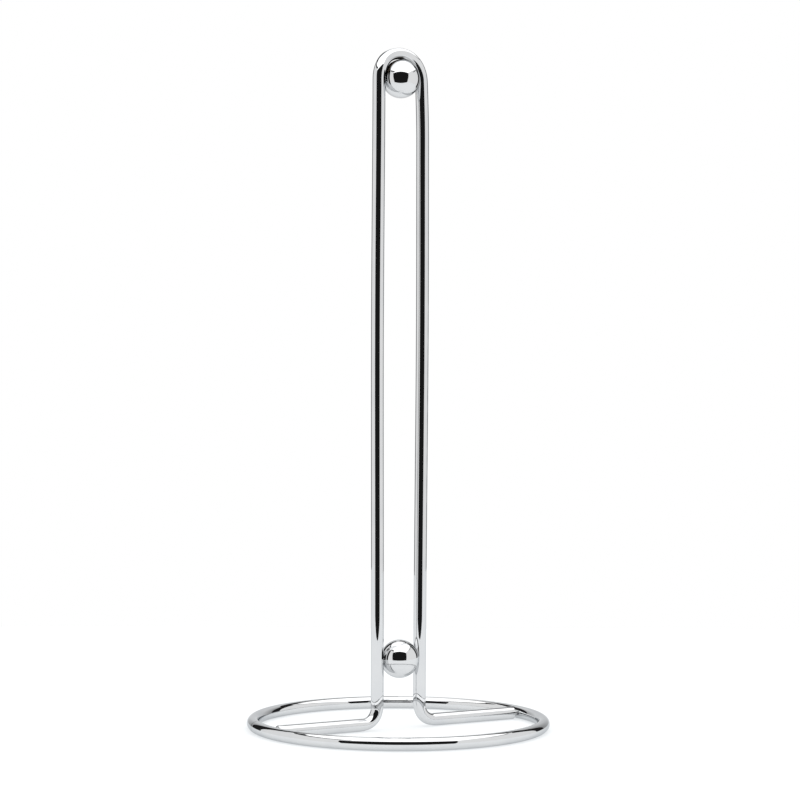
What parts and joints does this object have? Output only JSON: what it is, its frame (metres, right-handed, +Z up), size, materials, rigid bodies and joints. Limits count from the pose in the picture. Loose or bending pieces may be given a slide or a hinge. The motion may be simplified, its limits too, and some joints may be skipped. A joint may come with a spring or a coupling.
{
  "type": "paper towel holder",
  "caption": "Free-standing chromed wire paper towel holder: a round ring base carries a tall hairpin post that takes a roll, with steel balls welded between the legs.",
  "frame": {"origin": "on the table at the centre of the base ring", "axes": "+Z up along the post, +X along the feet, so the hairpin lies in the XZ plane"},
  "size_m": [0.15, 0.15, 0.3365],
  "materials": {
    "chromed_wire": "bright chrome plate on drawn steel wire",
    "chromed_ball": "mirror chrome plate on a steel ball",
    "plated_weld": "chrome plate over an unpolished weld"
  },
  "bodies": {
    "root": {"base_ring": "chromed_wire", "ring_seam_weld": "plated_weld", "upright_wire": "chromed_wire", "top_ball": "chromed_ball", "bottom_ball": "chromed_ball", "left_foot_weld": "plated_weld", "right_foot_weld": "plated_weld", "top_ball_left_weld": "plated_weld", "top_ball_right_weld": "plated_weld", "bottom_ball_left_weld": "plated_weld", "bottom_ball_right_weld": "plated_weld"}
  },
  "joints": []
}
